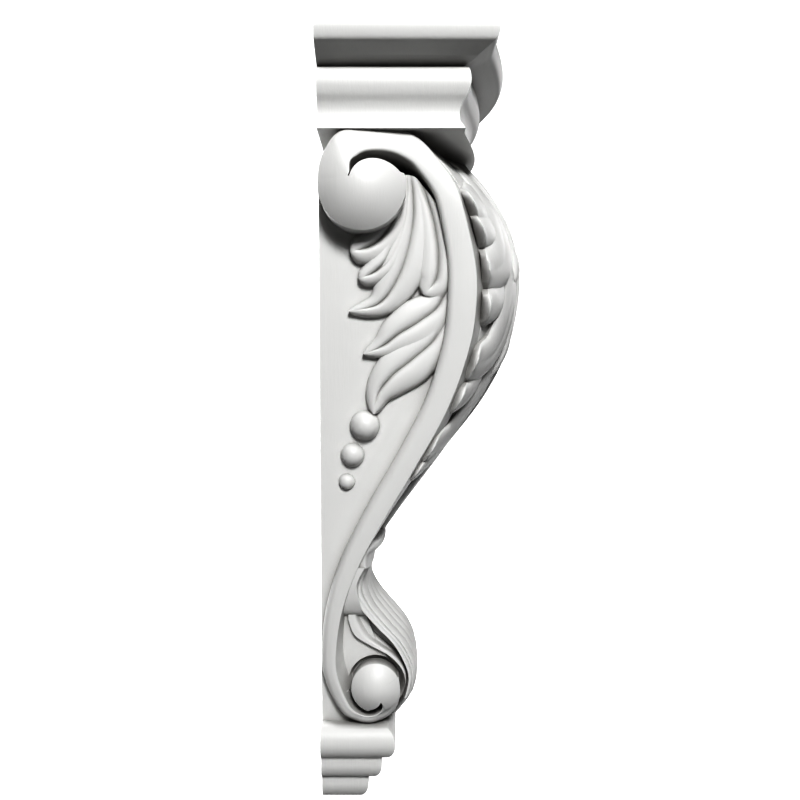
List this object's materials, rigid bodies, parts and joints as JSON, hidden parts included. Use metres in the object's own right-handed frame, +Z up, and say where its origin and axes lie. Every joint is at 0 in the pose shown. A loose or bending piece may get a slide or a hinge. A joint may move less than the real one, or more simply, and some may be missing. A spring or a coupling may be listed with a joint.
{
  "type": "carved wooden corbel bracket",
  "caption": "Tall scrolled corbel with a bowed moulded cap, side volutes, leaf carving and a stepped base, fixed by its flat back.",
  "frame": {"origin": "centre of the flat back face, halfway up", "axes": "+Z up, +Y into the wall, -Y the way the corbel projects, +X across its width"},
  "size_m": [0.2366, 0.1661, 0.61],
  "materials": {
    "painted_wood": "satin white paint"
  },
  "bodies": {
    "root": {"corbel": "painted_wood"}
  },
  "joints": []
}
